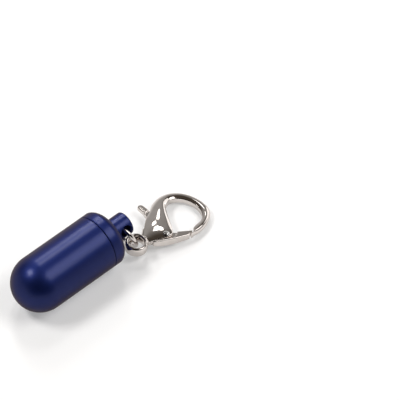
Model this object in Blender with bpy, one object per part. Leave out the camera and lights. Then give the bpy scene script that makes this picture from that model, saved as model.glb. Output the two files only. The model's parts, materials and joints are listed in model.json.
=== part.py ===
"""Address capsule: a turned aluminium capsule that holds a rolled paper slip, with a jump ring
and a lobster clasp. Metres, +Z up. The capsule lies on its side with its nose towards -X, and
the clasp lies beside the stem. The origin is at the bottom centre of the whole object's box."""

import math

import bmesh
import bpy
import numpy as np
from mathutils import Matrix, Vector

# Clearances
FIT_GAP = 0.0003
SEAM_GAP = 0.00025
FLOOR_GAP = 0.00005

# Seal ring, which sets the diameters of the neck and the barrel
SEAL_SECTION = 0.0017
SEAL_INNER_DIAMETER = 0.0097
SEAL_PROUD = 0.0003

# Barrel: a tube with a half-round nose
BARREL_STRAIGHT = 0.01875
MOUTH_WALL = 0.00065
THREAD_SHELF = 0.0004
MOUTH_CHAMFER = 0.0002

# Cap above the seam: flange, rounded shoulder and stem
FLANGE_LENGTH = 0.00235
FLANGE_EDGE = 0.00015
SHOULDER_RADIUS = 0.0030
SHOULDER_BREAK = math.radians(20)
STEM_DIAMETER = 0.0062
STEM_LENGTH = 0.0056
STEM_EDGE = 0.0004
STEM_FILLET = 0.0003
CROSS_HOLE_DIAMETER = 0.0030
CROSS_HOLE_SETBACK = 0.0023
CROSS_HOLE_TILT = math.radians(15)
CROSS_HOLE_CHAMFER = 0.0004

# Cap below the seam: relief, collar, seal groove, threaded end and slip bore
RELIEF_WIDTH = 0.0005
RELIEF_DEPTH = 0.0004
COLLAR_LENGTH = 0.00225
THREAD_STEP = 0.00015
THREAD_LENGTH = 0.00255
THREAD_LEAD_IN = 0.0005
NECK_WALL = 0.00045
NECK_BORE_DEPTH = 0.0099

# Address slip: a strip of stiff paper, rolled up
SLIP_WIDTH = 0.0166
SLIP_TURNS = 2.4
SLIP_THICKNESS = 0.00022
SLIP_TELESCOPE = 0.0010

# Jump ring, and where the clasp's eye hangs on it
RING_RADIUS = 0.0040
RING_WIRE = 0.0010
RING_LIFT = 0.00065
EYE_ANGLE = math.radians(126)

# Clasp body
CLASP_YAW = math.radians(-11)
EYE_INNER_RADIUS = 0.00205
EYE_OUTER_RADIUS = 0.0031
EYE_HEIGHT = 0.0024
EYE_FULLNESS = 1.09
BODY_HEIGHT = 0.0032
SLOT_HEIGHT = 0.0016

# Lever, with its rivet and its spring
LEVER_TAIL_HEIGHT = 0.0028
LEVER_TIP_HEIGHT = 0.0018
TRIGGER_HEIGHT = 0.0016
HUB_WALL = 0.0003
LEVER_EDGE = 0.00015
RIVET_DIAMETER = 0.0008
RIVET_HEAD_DIAMETER = 0.0017
RIVET_HEAD_HEIGHT = 0.00022
SPRING_WIRE = 0.00022

# Facets
LATHE_STEPS = 48
CLASP_STEP = 0.0011

# The clasp in plan, metres from the eye's centre. Each row is a point of the outer edge, the
# point of the inner edge across from it, the crown's height there as a share of the body's
# height, and the inner wall's height as a share of the crown's.
CLASP_ROWS = (
    (0.00235, 0.00145, 0.00255, -0.00095, 0.70, 0.80),
    (0.00350, 0.00310, 0.00430, -0.00140, 0.82, 0.82),
    (0.00500, 0.00500, 0.00660, -0.00185, 0.96, 0.84),
    (0.00650, 0.00660, 0.00850, -0.00220, 1.00, 0.84),
    (0.00800, 0.00770, 0.00980, -0.00175, 1.00, 0.82),
    (0.00920, 0.00860, 0.01080, 0.00050, 1.00, 0.78),
    (0.01060, 0.00970, 0.01160, 0.00330, 0.98, 0.72),
    (0.01200, 0.01050, 0.01230, 0.00540, 0.94, 0.68),
    (0.01330, 0.01095, 0.01310, 0.00710, 0.88, 0.65),
    (0.01500, 0.01110, 0.01460, 0.00830, 0.80, 0.64),
    (0.01660, 0.01085, 0.01570, 0.00850, 0.72, 0.64),
    (0.01820, 0.01020, 0.01710, 0.00815, 0.68, 0.64),
    (0.01960, 0.00925, 0.01840, 0.00730, 0.66, 0.64),
    (0.02090, 0.00780, 0.01950, 0.00590, 0.66, 0.64),
    (0.02200, 0.00600, 0.02015, 0.00440, 0.66, 0.64),
    (0.02270, 0.00410, 0.02040, 0.00290, 0.66, 0.64),
    (0.02290, 0.00220, 0.02035, 0.00160, 0.66, 0.64),
    (0.02250, 0.00050, 0.02000, 0.00060, 0.66, 0.64),
    (0.02140, -0.00100, 0.01940, -0.00035, 0.66, 0.64),
    (0.02000, -0.00220, 0.01850, -0.00105, 0.66, 0.64),
    (0.01850, -0.00310, 0.01740, -0.00150, 0.66, 0.66),
    (0.01700, -0.00365, 0.01640, -0.00185, 0.64, 0.70),
    (0.01580, -0.00385, 0.01560, -0.00235, 0.63, 0.76),
    (0.01500, -0.00398, 0.01525, -0.00290, 0.62, 0.84),
    (0.01445, -0.00405, 0.01495, -0.00345, 0.62, 0.90),
    (0.01385, -0.00412, 0.01400, -0.00378, 0.60, 0.90),
)
HOOK_CROWN = 0.66
HOOK_REACH = 0.0215
PIVOT = (0.0081, -0.0013)
SLOT_OUTLINE = (
    (0.0036, -0.0055), (0.0036, -0.0011), (0.0062, -0.0011), (0.0040, 0.0040), (0.0026, 0.0067),
    (0.0093, 0.0105), (0.0093, 0.0004), (0.0124, 0.0004), (0.0124, -0.0055),
)
WEB_OUTLINE = (
    (0.00500, -0.00240), (0.00660, -0.00195), (0.00725, -0.00040), (0.00710, 0.00250),
    (0.00700, 0.00740), (0.00715, 0.00890), (0.00870, 0.00920), (0.00880, 0.00740),
    (0.00870, 0.00250), (0.00895, 0.00020), (0.00960, -0.00075), (0.01150, -0.00195),
    (0.01200, -0.00340), (0.00830, -0.00305), (0.00520, -0.00260),
)
GATE_OUTLINE = (
    (0.00395, -0.00175), (0.00480, -0.00190), (0.00650, -0.00225), (0.00810, -0.00270),
    (0.00880, -0.00293), (0.00960, -0.00290), (0.01050, -0.00240), (0.01120, -0.00165),
    (0.01485, -0.00298), (0.01462, -0.00322), (0.01375, -0.00353), (0.01345, -0.00366),
    (0.01342, -0.00397), (0.01200, -0.00385), (0.01000, -0.00360), (0.00800, -0.00325),
    (0.00600, -0.00285), (0.00440, -0.00250), (0.00380, -0.00225), (0.00370, -0.00195),
)
TRIGGER_OUTLINE = (
    (0.00690, 0.00745), (0.00800, 0.00820), (0.00900, 0.00895), (0.00908, 0.00980),
    (0.00890, 0.01048), (0.00840, 0.01090), (0.00770, 0.01090), (0.00715, 0.01055),
    (0.00686, 0.00990), (0.00680, 0.00870),
)

# Sizes that follow from those above
seal_outer = SEAL_INNER_DIAMETER / 2 + SEAL_SECTION
groove_radius = SEAL_INNER_DIAMETER / 2 - FIT_GAP
groove_width = SEAL_SECTION + 2 * FIT_GAP
collar_radius = seal_outer - SEAL_PROUD
thread_radius = collar_radius - THREAD_STEP
seal_bore = seal_outer + FIT_GAP
barrel_radius = seal_bore + MOUTH_WALL
thread_bore = thread_radius + FIT_GAP
barrel_bore = thread_bore - THREAD_SHELF
neck_bore = groove_radius - NECK_WALL
groove_start = -COLLAR_LENGTH
thread_start = groove_start - groove_width
neck_end = thread_start - THREAD_LENGTH
bore_end = neck_end + NECK_BORE_DEPTH
stem_base = FLANGE_LENGTH + SHOULDER_RADIUS * (1 - math.sin(SHOULDER_BREAK))
stem_end = stem_base + STEM_LENGTH
spring_radius = RIVET_DIAMETER / 2 + FIT_GAP + SPRING_WIRE / 2
pocket_radius = spring_radius + SPRING_WIRE / 2 + FIT_GAP
hub_radius = pocket_radius + HUB_WALL
web_half = SLOT_HEIGHT / 2 - FIT_GAP


def clear_scene():
    for item in list(bpy.data.objects):
        bpy.data.objects.remove(item, do_unlink=True)


def make_material(name, color, roughness, metallic):
    material = bpy.data.materials.new(name)
    material.use_nodes = True
    shader = material.node_tree.nodes["Principled BSDF"]
    shader.inputs["Base Color"].default_value = (*color, 1.0)
    shader.inputs["Roughness"].default_value = roughness
    shader.inputs["Metallic"].default_value = metallic
    material.diffuse_color = (*color, 1.0)
    return material


def add_object(name, source, material, parent):
    bmesh.ops.recalc_face_normals(source, faces=source.faces[:])
    mesh = bpy.data.meshes.new(name)
    source.to_mesh(mesh)
    source.free()
    mesh.materials.append(material)
    mesh.shade_smooth()
    mesh.set_sharp_from_angle(angle=math.radians(35))
    item = bpy.data.objects.new(name, mesh)
    bpy.context.collection.objects.link(item)
    item.parent = parent
    return item


def add_frame(name, parent, matrix):
    item = bpy.data.objects.new(name, None)
    item.empty_display_size = 0.003
    bpy.context.collection.objects.link(item)
    item.parent = parent
    item.matrix_local = matrix
    return item


def combine(item, source, operation, label):
    """Join another solid to an object, or cut it away, and keep the other solid as a wire."""
    tool = add_object(f"{item.name}_{label}", source, item.data.materials[0], item.parent)
    tool.hide_render = True
    tool.display_type = "WIRE"
    modifier = item.modifiers.new(label, "BOOLEAN")
    modifier.operation = operation
    modifier.solver = "EXACT"
    modifier.object = tool


def arc(centre, radius, start, end, steps):
    angles = np.linspace(start, end, steps + 1)
    return [(centre[0] + radius * math.cos(a), centre[1] + radius * math.sin(a)) for a in angles]


def turned(profile, steps=LATHE_STEPS):
    """Turn a closed (x, r) profile about the X axis. A point on the axis is one vertex."""
    bm = bmesh.new()
    rings = []
    for x, r in profile:
        angles = [2 * math.pi * k / steps for k in range(steps)] if r > 1e-9 else [0.0]
        rings.append([bm.verts.new((x, r * math.sin(a), -r * math.cos(a))) for a in angles])
    for one, two in zip(rings, rings[1:] + rings[:1]):
        for k in range(steps):
            corners = (one[k % len(one)], one[(k + 1) % len(one)],
                       two[(k + 1) % len(two)], two[k % len(two)])
            face = list(dict.fromkeys(corners))
            if len(face) > 2:
                bm.faces.new(face)
    return bm


def upright(bm):
    bm.transform(Matrix.Rotation(-math.pi / 2, 4, "Y"))
    return bm


def skin(sections, loop=False):
    """Skin a row of sections with the same number of points. The ends are flat unless it loops."""
    bm = bmesh.new()
    rows = [[bm.verts.new(point) for point in section] for section in sections]
    following = rows[1:] + rows[:1] if loop else rows[1:]
    count = len(rows[0])
    for one, two in zip(rows, following):
        for k in range(count):
            j = (k + 1) % count
            bm.faces.new((one[k], one[j], two[j], two[k]))
    if not loop:
        bm.faces.new(rows[0])
        bm.faces.new(rows[-1])
    return bm


def inset(outline, distance):
    """Move a plan outline inwards along the bisectors of its corners."""
    points = np.array(outline)
    edges = np.roll(points, -1, axis=0) - points
    edges /= np.linalg.norm(edges, axis=1)[:, None]
    area = np.cross(points, np.roll(points, -1, axis=0)).sum()
    normals = np.column_stack([-edges[:, 1], edges[:, 0]]) * np.sign(area)
    before = np.roll(normals, 1, axis=0)
    shared = 1 + (before * normals).sum(axis=1)
    return points + distance * (before + normals) / shared[:, None]


def plate(outline, height, edge=0.0):
    """An upright plate over a plan outline, centred on z = 0, with chamfered edges."""
    half = height / 2
    rows = [(0.0, -half), (0.0, half)]
    if edge:
        rows = [(edge, -half), (0.0, edge - half), (0.0, half - edge), (edge, half)]
    return skin([[(x, y, z) for x, y in inset(outline, move)] for move, z in rows])


def about_pivot(outline):
    return [(x - PIVOT[0], y - PIVOT[1]) for x, y in outline]


def smooth_rows(rows, step):
    """Read a Catmull-Rom curve through rows of numbers at even steps along it."""
    knots = np.array([2 * np.array(rows[0]) - rows[1], *rows, 2 * np.array(rows[-1]) - rows[-2]])
    fine = []
    for a, b, c, d in zip(knots, knots[1:], knots[2:], knots[3:]):
        for s in np.linspace(0, 1, 24, endpoint=False):
            fine.append(b + 0.5 * s * (c - a + s * (2 * a - 5 * b + 4 * c - d
                                                    + s * (3 * b - a - 3 * c + d))))
    fine = np.array([*fine, knots[-2]])
    lengths = np.linalg.norm(np.diff(fine[:, :4], axis=0), axis=1)
    run = np.concatenate([[0], np.cumsum(lengths)])
    even = np.linspace(0, run[-1], round(run[-1] / step) + 1)
    return np.column_stack([np.interp(even, run, column) for column in fine.T])


def make_barrel(material, parent):
    mouth = -SEAM_GAP
    nose = mouth - BARREL_STRAIGHT
    seal_end = thread_start - groove_width / 4
    thread_end = neck_end - FIT_GAP
    profile = arc((nose, 0), barrel_radius, math.pi, math.pi / 2, 12)
    profile += [(mouth - MOUTH_CHAMFER, barrel_radius), (mouth, barrel_radius - MOUTH_CHAMFER),
                (mouth, seal_bore + MOUTH_CHAMFER), (mouth - MOUTH_CHAMFER, seal_bore),
                (seal_end, seal_bore), (seal_end + thread_bore - seal_bore, thread_bore),
                (thread_end, thread_bore), (thread_end + barrel_bore - thread_bore, barrel_bore)]
    profile += arc((nose, 0), barrel_bore, math.pi / 2, math.pi, 8)
    add_object("barrel", turned(profile), material, parent)


def make_cap(material, parent, hole_frame):
    stem = STEM_DIAMETER / 2
    shoulder_centre = (FLANGE_LENGTH - SHOULDER_RADIUS * math.sin(SHOULDER_BREAK),
                       barrel_radius - SHOULDER_RADIUS * math.cos(SHOULDER_BREAK))
    profile = [(FLANGE_EDGE, barrel_radius), (FLANGE_LENGTH, barrel_radius)]
    profile += arc(shoulder_centre, SHOULDER_RADIUS, math.pi / 2 - SHOULDER_BREAK, 0, 7)[1:]
    profile += [(stem_base, stem + STEM_FILLET), (stem_base + STEM_FILLET, stem)]
    profile += arc((stem_end - STEM_EDGE, stem - STEM_EDGE), STEM_EDGE, math.pi / 2, 0, 3)
    profile += [(stem_end, 0), (bore_end, 0), (bore_end, neck_bore), (neck_end, neck_bore),
                (neck_end, thread_radius - THREAD_LEAD_IN),
                (neck_end + THREAD_LEAD_IN, thread_radius), (thread_start, thread_radius),
                (thread_start, groove_radius), (groove_start, groove_radius),
                (groove_start, collar_radius), (-RELIEF_WIDTH, collar_radius),
                (-RELIEF_WIDTH, collar_radius - RELIEF_DEPTH), (0, collar_radius - RELIEF_DEPTH),
                (0, barrel_radius - FLANGE_EDGE)]
    cap = add_object("cap", turned(profile), material, parent)
    hole = CROSS_HOLE_DIAMETER / 2
    inner = stem - CROSS_HOLE_CHAMFER
    outer = stem + CROSS_HOLE_CHAMFER
    flare = hole + 2 * CROSS_HOLE_CHAMFER
    hole_profile = [(-outer, 0), (-outer, flare), (-inner, hole),
                    (inner, hole), (outer, flare), (outer, 0)]
    cutter = turned(hole_profile, 32)
    cutter.transform(hole_frame)
    combine(cap, cutter, "DIFFERENCE", "cross_hole")


def make_seal(material, parent):
    middle = groove_start - groove_width / 2
    centre = (middle, SEAL_INNER_DIAMETER / 2 + SEAL_SECTION / 2)
    section = arc(centre, SEAL_SECTION / 2, 0, 2 * math.pi, 10)[:-1]
    add_object("o_ring", turned(section, 40), material, parent)


def make_slip(material, parent):
    steps = round(SLIP_TURNS * 28)
    pitch = SLIP_THICKNESS + FIT_GAP
    sections = []
    for k in range(steps + 1):
        turns_left = SLIP_TURNS * (1 - k / steps)
        angle = math.radians(60) - 2 * math.pi * turns_left
        outer = neck_bore - FIT_GAP - pitch * turns_left
        inner = outer - SLIP_THICKNESS
        high = bore_end - FIT_GAP - SLIP_TELESCOPE * (1 - k / steps)
        low = high - SLIP_WIDTH
        corners = ((low, inner), (high, inner), (high, outer), (low, outer))
        sections.append([(x, r * math.sin(angle), r * math.cos(angle)) for x, r in corners])
    add_object("address_slip", skin(sections), material, parent)


def hole_matrix(axis_height):
    """The cross hole's frame: X along the hole, Y the way the jump ring hangs. The ring leans
    from the hole just far enough for its wire to meet the floor."""
    tilt_sin = math.sin(CROSS_HOLE_TILT)
    tilt_cos = math.cos(CROSS_HOLE_TILT)
    drop = axis_height - RING_WIRE / 2 - FLOOR_GAP
    arm = RING_RADIUS - RING_LIFT
    spread = RING_RADIUS**2 - arm**2
    reach = drop**2 - (RING_RADIUS * tilt_sin)**2
    fall = (math.sqrt((drop * arm)**2 + spread * reach) - drop * arm) / spread
    lean_cos = min(1.0, fall / tilt_cos)
    lean_sin = math.sqrt(1 - lean_cos**2)
    along = Vector((0, -tilt_cos, tilt_sin))
    away = Vector((lean_sin, -tilt_sin * lean_cos, -tilt_cos * lean_cos))
    turn = Matrix((along, away, along.cross(away))).transposed().to_4x4()
    return Matrix.Translation((stem_end - CROSS_HOLE_SETBACK, 0, 0)) @ turn


def make_jump_ring(material, parent):
    sections = []
    for a in np.linspace(0, 2 * math.pi, 48, endpoint=False):
        section = []
        for b in np.linspace(0, 2 * math.pi, 12, endpoint=False):
            r = RING_RADIUS + RING_WIRE / 2 * math.cos(b)
            y = RING_RADIUS - RING_LIFT + r * math.cos(a)
            section.append((r * math.sin(a), y, RING_WIRE / 2 * math.sin(b)))
        sections.append(section)
    add_object("jump_ring", skin(sections, loop=True), material, parent)


def eye_matrix(hole_frame, axis_height):
    """The eye's frame: Z through the eye, X towards the hook, which rests on the floor."""
    across = RING_RADIUS * math.sin(EYE_ANGLE)
    along = RING_RADIUS * (1 - math.cos(EYE_ANGLE)) - RING_LIFT
    centre = hole_frame @ Vector((across, along, 0))
    hook_half = HOOK_CROWN * BODY_HEIGHT / 2
    pitch = math.asin((centre.z + axis_height - hook_half - FLOOR_GAP) / HOOK_REACH)
    turn = Matrix.Rotation(CLASP_YAW, 4, "Z") @ Matrix.Rotation(pitch, 4, "Y")
    return Matrix.Translation(centre) @ turn


def make_clasp_body(material, parent):
    sections = []
    for ox, oy, ix, iy, crown, wall in smooth_rows(CLASP_ROWS, CLASP_STEP):
        half = crown * BODY_HEIGHT / 2
        fullness = 2.2 + 4 * max(0.0, crown - HOOK_CROWN)
        shape = [(t, (1 - (1 - 2 * t)**fullness)**(1 / fullness)) for t in (0, 0.02, 0.08, 0.2, 0.35)]
        shape += [(t, 1 - (1 - wall) * (2 * t - 1)**2) for t in (0.5, 0.75, 0.92, 1.0)]
        upper = [(ox + (ix - ox) * t, oy + (iy - oy) * t, half * h) for t, h in shape]
        sections.append(upper + [(x, y, -z) for x, y, z in upper[:0:-1]])
    body = add_object("clasp_body", skin(sections), material, parent)

    middle = (EYE_INNER_RADIUS + EYE_OUTER_RADIUS) / 2
    wall = (EYE_OUTER_RADIUS - EYE_INNER_RADIUS) / 2
    # The eye's section is an oval that swells towards its four corners
    corner_swell = 2**0.25
    eye = []
    for b in np.linspace(0, 2 * math.pi, 12, endpoint=False):
        swell = max(abs(math.cos(b)), abs(math.sin(b)))**-0.5
        r = middle + wall * math.cos(b) * swell / corner_swell * EYE_FULLNESS
        eye.append((EYE_HEIGHT / 2 * math.sin(b) * swell / corner_swell * EYE_FULLNESS, r))
    combine(body, upright(turned(eye, 40)), "UNION", "eye")
    combine(body, plate(SLOT_OUTLINE, SLOT_HEIGHT), "DIFFERENCE", "slot")
    bore = RIVET_DIAMETER / 2 + FIT_GAP
    hole = upright(turned([(-BODY_HEIGHT, 0), (-BODY_HEIGHT, bore),
                           (BODY_HEIGHT, bore), (BODY_HEIGHT, 0)], 24))
    hole.transform(Matrix.Translation((*PIVOT, 0)))
    combine(body, hole, "DIFFERENCE", "rivet_hole")


def make_lever(material, parent):
    lever = add_object("clasp_lever", plate(about_pivot(WEB_OUTLINE), 2 * web_half), material, parent)
    hub = upright(turned([(-web_half, 0), (-web_half, hub_radius), (web_half, hub_radius),
                          (web_half, 0)], 32))
    combine(lever, hub, "UNION", "hub")
    gate = plate(about_pivot(GATE_OUTLINE), LEVER_TAIL_HEIGHT, LEVER_EDGE)
    tail = min(vertex.co.x for vertex in gate.verts)
    tip = max(vertex.co.x for vertex in gate.verts)
    for vertex in gate.verts:
        share = (vertex.co.x - tail) / (tip - tail)
        vertex.co.z *= 1 - share * (1 - LEVER_TIP_HEIGHT / LEVER_TAIL_HEIGHT)
    combine(lever, gate, "UNION", "gate")
    trigger = plate(about_pivot(TRIGGER_OUTLINE), TRIGGER_HEIGHT, LEVER_EDGE)
    combine(lever, trigger, "UNION", "trigger")
    bore = RIVET_DIAMETER / 2 + FIT_GAP
    low = -2 * web_half
    roof = -web_half + SPRING_WIRE + FIT_GAP
    cut = turned([(low, 0), (low, pocket_radius), (roof, pocket_radius), (roof, bore),
                  (web_half * 2, bore), (web_half * 2, 0)], 32)
    combine(lever, upright(cut), "DIFFERENCE", "spring_pocket")
    near = spring_radius - SPRING_WIRE / 2 - FIT_GAP
    channel = plate([(-2 * hub_radius, near), (0, near), (0, pocket_radius),
                     (-2 * hub_radius, pocket_radius)], roof - low)
    channel.transform(Matrix.Translation((0, 0, (roof + low) / 2)))
    combine(lever, channel, "DIFFERENCE", "spring_channel")


def make_rivet(material, parent):
    shank = RIVET_DIAMETER / 2
    head = RIVET_HEAD_DIAMETER / 2
    under = BODY_HEIGHT / 2 + FIT_GAP / 2
    top = under + RIVET_HEAD_HEIGHT
    upper = [(under, shank), (under, head), (under + RIVET_HEAD_HEIGHT * 0.4, head),
             (under + RIVET_HEAD_HEIGHT * 0.85, head * 0.6), (top, 0)]
    profile = [(-x, r) for x, r in reversed(upper)] + upper
    add_object("lever_rivet", upright(turned(profile, 24)), material, parent)


def make_spring(material, parent):
    """A flat torsion spring: one leg out along the channel, one loop, one short inner leg."""
    level = -web_half + SPRING_WIRE / 2
    loop = arc((0, 0), spring_radius, math.pi / 2, -math.radians(190), 22)
    path = [(-hub_radius, spring_radius), (-hub_radius / 2, spring_radius)] + loop
    points = np.array(path)
    tangents = np.gradient(points, axis=0)
    tangents /= np.linalg.norm(tangents, axis=1)[:, None]
    sections = []
    for (x, y), (dx, dy) in zip(points, tangents):
        section = []
        for b in np.linspace(0, 2 * math.pi, 8, endpoint=False):
            side = SPRING_WIRE / 2 * math.cos(b)
            section.append((x - dy * side, y + dx * side, level + SPRING_WIRE / 2 * math.sin(b)))
        sections.append(section)
    add_object("lever_spring", skin(sections), material, parent)


def lower_corner_and_size():
    """Bounds of everything that renders."""
    graph = bpy.context.evaluated_depsgraph_get()
    points = []
    for item in bpy.data.objects:
        if item.type == "MESH" and not item.hide_render:
            shaped = item.evaluated_get(graph)
            points += [shaped.matrix_world @ vertex.co for vertex in shaped.data.vertices]
    table = np.array(points)
    return table.min(axis=0), table.max(axis=0) - table.min(axis=0)


def build():
    clear_scene()
    blue = make_material("anodised_aluminium", (0.012, 0.02, 0.11), 0.32, 1.0)
    cap_blue = make_material("anodised_aluminium_cap", (0.012, 0.02, 0.11), 0.30, 1.0)
    rubber = make_material("black_rubber", (0.012, 0.011, 0.010), 0.55, 0.0)
    paper = make_material("white_paper", (0.85, 0.84, 0.81), 0.85, 0.0)
    ring_nickel = make_material("nickel_plated_ring", (0.66, 0.62, 0.56), 0.16, 1.0)
    body_nickel = make_material("nickel_plated_clasp", (0.66, 0.62, 0.56), 0.14, 1.0)
    lever_nickel = make_material("nickel_plated_lever", (0.66, 0.62, 0.56), 0.18, 1.0)
    rivet_steel = make_material("steel_rivet", (0.56, 0.55, 0.53), 0.28, 1.0)
    spring_steel = make_material("spring_steel", (0.40, 0.39, 0.38), 0.35, 1.0)

    root = add_frame("stand", None, Matrix())
    axis = add_frame("capsule_axis", root, Matrix.Translation((0, 0, barrel_radius)))
    hole_frame = hole_matrix(barrel_radius)
    eye_frame = eye_matrix(hole_frame, barrel_radius)
    pivot_frame = eye_frame @ Matrix.Translation((*PIVOT, 0))
    make_barrel(blue, axis)
    make_cap(cap_blue, axis, hole_frame)
    make_seal(rubber, axis)
    make_slip(paper, axis)
    make_jump_ring(ring_nickel, add_frame("cross_hole", axis, hole_frame))
    make_clasp_body(body_nickel, add_frame("eye", axis, eye_frame))
    pivot = add_frame("pivot", axis, pivot_frame)
    make_lever(lever_nickel, pivot)
    make_rivet(rivet_steel, pivot)
    make_spring(spring_steel, pivot)

    bpy.context.view_layer.update()
    low, size = lower_corner_and_size()
    root.location = (-low[0] - size[0] / 2, -low[1] - size[1] / 2, -low[2])
    bpy.context.view_layer.update()


build()
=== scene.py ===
"""Looks for the address capsule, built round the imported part. Metres, +Z up. The capsule lies
along X with its nose towards -X, and each piece is made where its CAD node is."""

import json
import math

import bmesh
import bpy
import numpy as np
from mathutils import Matrix, Vector


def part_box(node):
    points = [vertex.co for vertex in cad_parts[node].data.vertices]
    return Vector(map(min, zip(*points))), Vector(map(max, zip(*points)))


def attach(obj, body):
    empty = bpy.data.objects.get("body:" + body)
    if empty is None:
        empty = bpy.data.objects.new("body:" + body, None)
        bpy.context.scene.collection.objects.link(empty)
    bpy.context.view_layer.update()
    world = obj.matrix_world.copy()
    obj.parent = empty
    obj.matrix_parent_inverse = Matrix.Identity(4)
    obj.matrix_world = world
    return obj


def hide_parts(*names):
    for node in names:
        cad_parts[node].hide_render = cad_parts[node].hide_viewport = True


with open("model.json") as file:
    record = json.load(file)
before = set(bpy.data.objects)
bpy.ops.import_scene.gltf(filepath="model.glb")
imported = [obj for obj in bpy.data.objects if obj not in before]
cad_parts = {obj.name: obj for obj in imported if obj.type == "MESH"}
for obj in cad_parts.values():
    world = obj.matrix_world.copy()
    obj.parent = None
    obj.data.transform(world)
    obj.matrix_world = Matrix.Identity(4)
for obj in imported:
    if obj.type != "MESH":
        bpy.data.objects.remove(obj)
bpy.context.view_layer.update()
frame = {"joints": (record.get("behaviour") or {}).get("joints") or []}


# The table: a wide sheet of matt white card, which takes the soft shadow of the capsule and
# gives the metal its pale underside. To the camera and in reflections it also glows a little,
# and away from the capsule its own colour fades into an even white glow.
CARD_SIZE = 4.0
CARD_WHITE = "#CECDCC"
# The glow is this strong near the capsule and 1, which is white, past the end of the fade.
CARD_GLOW = 0.31
CARD_FADE = (0.10, 0.36)


def linear(code):
    """Turn an sRGB hex code into a linear colour."""
    parts = [int(code[k:k + 2], 16) / 255 for k in (1, 3, 5)]
    return (*[v / 12.92 if v <= 0.04045 else ((v + 0.055) / 1.055) ** 2.4 for v in parts], 1.0)


def add_node(tree, kind, inputs=None, **settings):
    """Add one node, set its properties, and give its inputs values or links."""
    node = tree.nodes.new(kind)
    for name, value in settings.items():
        setattr(node, name, value)
    for socket, value in (inputs or {}).items():
        if isinstance(value, bpy.types.NodeSocket):
            tree.links.new(value, node.inputs[socket])
        else:
            node.inputs[socket].default_value = value
    return node


def new_material(name):
    """Start a material with an empty node tree, and return both."""
    material = bpy.data.materials.new(name)
    material.use_nodes = True
    material.node_tree.nodes.clear()
    return material, material.node_tree


def close_material(tree, shader):
    """Join a shader to a material's output."""
    tree.links.new(shader.outputs[0], add_node(tree, "ShaderNodeOutputMaterial").inputs[0])


half_card = CARD_SIZE / 2
corners = [(x * half_card, y * half_card, 0) for x, y in ((-1, -1), (1, -1), (1, 1), (-1, 1))]
card_mesh = bpy.data.meshes.new("white_card")
card_mesh.from_pydata(corners, [], [(0, 1, 2, 3)])
card = bpy.data.objects.new("white_card", card_mesh)
bpy.context.collection.objects.link(card)
card_material, tree = new_material("matt_white_card")
rays = add_node(tree, "ShaderNodeLightPath")
seen = add_node(tree, "ShaderNodeMath", {
    0: rays.outputs["Is Camera Ray"], 1: rays.outputs["Is Glossy Ray"]}, operation="MAXIMUM")
seen = add_node(tree, "ShaderNodeMath", {
    0: seen.outputs[0], 1: rays.outputs["Is Transmission Ray"]}, operation="MAXIMUM")
coords = add_node(tree, "ShaderNodeTexCoord").outputs["Object"]
reach = add_node(tree, "ShaderNodeVectorMath", {0: coords}, operation="LENGTH")
far = add_node(tree, "ShaderNodeMapRange", {
    "Value": reach.outputs["Value"], "From Min": CARD_FADE[0], "From Max": CARD_FADE[1]},
    interpolation_type="SMOOTHSTEP")
own = add_node(tree, "ShaderNodeMapRange", {"Value": far.outputs[0], "To Min": CARD_GLOW, "To Max": 1.0})
glow = add_node(tree, "ShaderNodeMath", {0: seen.outputs[0], 1: own.outputs[0]}, operation="MULTIPLY")
fading = add_node(tree, "ShaderNodeMix", {
    "Factor": far.outputs[0], "A": linear(CARD_WHITE), "B": (0, 0, 0, 1)}, data_type="RGBA")
close_material(tree, add_node(tree, "ShaderNodeBsdfPrincipled", {
    "Base Color": fading.outputs["Result"], "Roughness": 0.9, "Specular IOR Level": 0.0,
    "Emission Color": (1, 1, 1, 1), "Emission Strength": glow.outputs[0]}))
card_mesh.materials.append(card_material)


# The room: dim and a little warm. A white strip stands at table level and fades upwards, the
# ceiling glows behind the capsule, and two black flags give the metal its dark sides.
ROOM_DIM = "#4E4740"
ROOM_PALE = "#FFFFFF"
STRIP_TOP = 0.075
STRIP_FADED = 0.45
GLOW_TOWARD = (0.42, 0.76, 0.50)
GLOW_EDGE = 0.78
GLOW_STRENGTH = 0.40
# A flag's direction, the cosines at its edge and at its full black, and the share of light left.
BLACK_FLAGS = (
    ((-0.50, -0.75, 0.43), 0.56, 0.80, 0.02),
    ((-0.20, 0.93, 0.30), 0.94, 0.985, 0.10),
)
world = bpy.data.worlds.new("room")
bpy.context.scene.world = world
world.use_nodes = True
tree = world.node_tree
tree.nodes.clear()
direction = add_node(tree, "ShaderNodeTexCoord").outputs["Generated"]
upward = add_node(tree, "ShaderNodeSeparateXYZ", {0: direction})
wall = add_node(tree, "ShaderNodeValToRGB", {0: upward.outputs["Z"]})
wall.color_ramp.elements[0].position = STRIP_TOP
wall.color_ramp.elements[0].color = linear(ROOM_PALE)
wall.color_ramp.elements[1].position = STRIP_FADED
wall.color_ramp.elements[1].color = linear(ROOM_DIM)
aside = add_node(tree, "ShaderNodeVectorMath", {0: direction, 1: GLOW_TOWARD}, operation="DOT_PRODUCT")
ceiling = add_node(tree, "ShaderNodeMapRange", {
    "Value": aside.outputs["Value"], "From Min": GLOW_EDGE, "From Max": 1.0, "To Max": GLOW_STRENGTH},
    interpolation_type="SMOOTHSTEP")
lit = add_node(tree, "ShaderNodeMix", {
    "Factor": ceiling.outputs[0], "A": wall.outputs[0], "B": linear(ROOM_PALE)}, data_type="RGBA")
strength = 1.0
for toward, edge, core, left in BLACK_FLAGS:
    facing = add_node(tree, "ShaderNodeVectorMath", {0: direction, 1: toward}, operation="DOT_PRODUCT")
    flag = add_node(tree, "ShaderNodeMapRange", {
        "Value": facing.outputs["Value"], "From Min": edge, "From Max": core, "To Min": 1.0, "To Max": left},
        interpolation_type="SMOOTHSTEP")
    shaded = add_node(tree, "ShaderNodeMath", {0: strength, 1: flag.outputs[0]}, operation="MULTIPLY")
    strength = shaded.outputs[0]
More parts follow.
